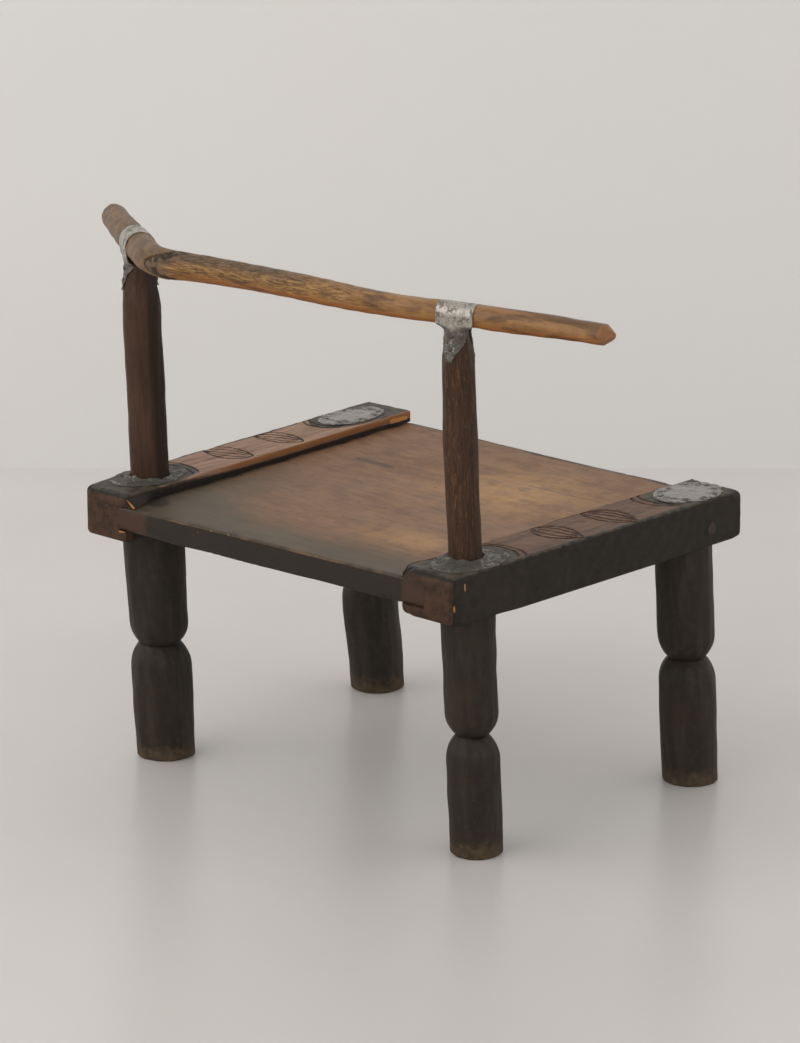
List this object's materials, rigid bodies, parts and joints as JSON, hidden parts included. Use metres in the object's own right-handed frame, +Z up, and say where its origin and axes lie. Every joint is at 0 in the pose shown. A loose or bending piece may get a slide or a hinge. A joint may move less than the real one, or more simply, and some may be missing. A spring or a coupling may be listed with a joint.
{
  "type": "birthing chair",
  "caption": "Low wooden birthing chair with a plank seat held between grooved side rails, waisted legs, and a bent branch strapped to two posts as the backrest",
  "frame": {"origin": "middle of the chair's box, on the floor", "axes": "+X to the sitter's left, +Y to the rear, +Z up; the sitter faces -Y"},
  "size_m": [0.5985, 0.3675, 0.465],
  "materials": {
    "seat_wood": "worn smooth by use, with a honey-brown patch in the middle",
    "rail_wood": "blackened satin, browner on top",
    "leg_wood": "blackened satin",
    "peg_wood": "reddish-brown end grain",
    "bar_wood": "hand-polished branch",
    "tin_sheet": "dull hammered tin with dark stains",
    "nail_iron": "dark, lightly rusted"
  },
  "bodies": {
    "root": {"seat_board": "seat_wood", "side_rail_left": "rail_wood", "side_rail_right": "rail_wood", "rear_stile_left": "leg_wood", "rear_stile_right": "leg_wood", "front_leg_left": "leg_wood", "front_leg_right": "leg_wood", "leg_peg_left": "peg_wood", "leg_peg_right": "peg_wood", "back_bar": "bar_wood", "strap_left": "tin_sheet", "strap_nails_left": "nail_iron", "strap_right": "tin_sheet", "strap_nails_right": "nail_iron", "corner_plate_rear_left": "tin_sheet", "plate_tacks_rear_left": "nail_iron", "corner_plate_rear_right": "tin_sheet", "plate_tacks_rear_right": "nail_iron", "corner_plate_front_left": "tin_sheet", "plate_tacks_front_left": "nail_iron", "corner_plate_front_right": "tin_sheet", "plate_tacks_front_right": "nail_iron"}
  },
  "joints": []
}
